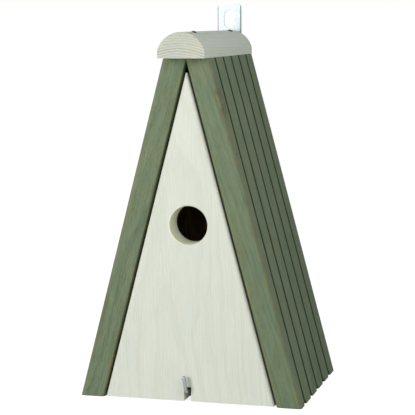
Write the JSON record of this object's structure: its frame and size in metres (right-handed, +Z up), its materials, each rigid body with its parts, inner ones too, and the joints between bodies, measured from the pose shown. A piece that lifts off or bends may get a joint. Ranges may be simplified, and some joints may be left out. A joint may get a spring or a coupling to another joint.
{
  "type": "nest box",
  "caption": "Tall A-shaped wooden nest box with leaning grooved side boards, half-round ridge cap, round entrance hole, swinging front panel, catch hook and hanger plate.",
  "frame": {"origin": "on the ground, below the middle of the whole box, on the underside of the floor board", "axes": "+Z up, the front panel and entrance hole face -Y, the hanger plate is at +Y, +X to the right seen from the front"},
  "size_m": [0.192, 0.1588, 0.3301],
  "materials": {
    "stained_wood": "translucent grey-green stain over planed and grooved softwood",
    "painted_wood": "thin off-white paint with the grain showing faintly",
    "weathered_wood": "bare softwood gone pale grey",
    "bare_wood": "bare planed softwood",
    "bright_zinc": "bright zinc plate",
    "brown_screws": "dark brown coated screw heads",
    "nail_steel": "steel nail, head stained over with the boards"
  },
  "bodies": {
    "root": {"left_side_board": "stained_wood", "right_side_board": "stained_wood", "back_panel": "stained_wood", "floor_board": "bare_wood", "ridge_cap": "weathered_wood", "hanger_plate": "bright_zinc", "hanger_screw_upper": "bright_zinc", "hanger_screw_lower": "bright_zinc", "cap_screw_front": "brown_screws", "cap_screw_back": "brown_screws", "pivot_nail_left": "nail_steel", "pivot_nail_right": "nail_steel", "left_back_nail_1": "nail_steel", "left_back_nail_2": "nail_steel", "left_back_nail_3": "nail_steel", "right_back_nail_1": "nail_steel", "right_back_nail_2": "nail_steel", "right_back_nail_3": "nail_steel", "left_floor_nail_front": "nail_steel", "left_floor_nail_back": "nail_steel", "right_floor_nail_front": "nail_steel", "right_floor_nail_back": "nail_steel", "back_floor_nail_left": "nail_steel", "back_floor_nail_right": "nail_steel"},
    "front_panel": {"front_panel": "painted_wood"},
    "catch_hook": {"catch_hook": "bright_zinc"}
  },
  "joints": [
    {"name": "panel_swing", "type": "hinge", "parent": "root", "child": "front_panel", "pos_m": [0, -0.05865, 0.21], "axis": [1, 0, 0], "range_deg": [-55, 0]},
    {"name": "hook_turn", "type": "hinge", "parent": "root", "child": "catch_hook", "pos_m": [-0.001, -0.06865, 0.0095], "axis": [0, 1, 0], "range_deg": [-171, 0]}
  ]
}
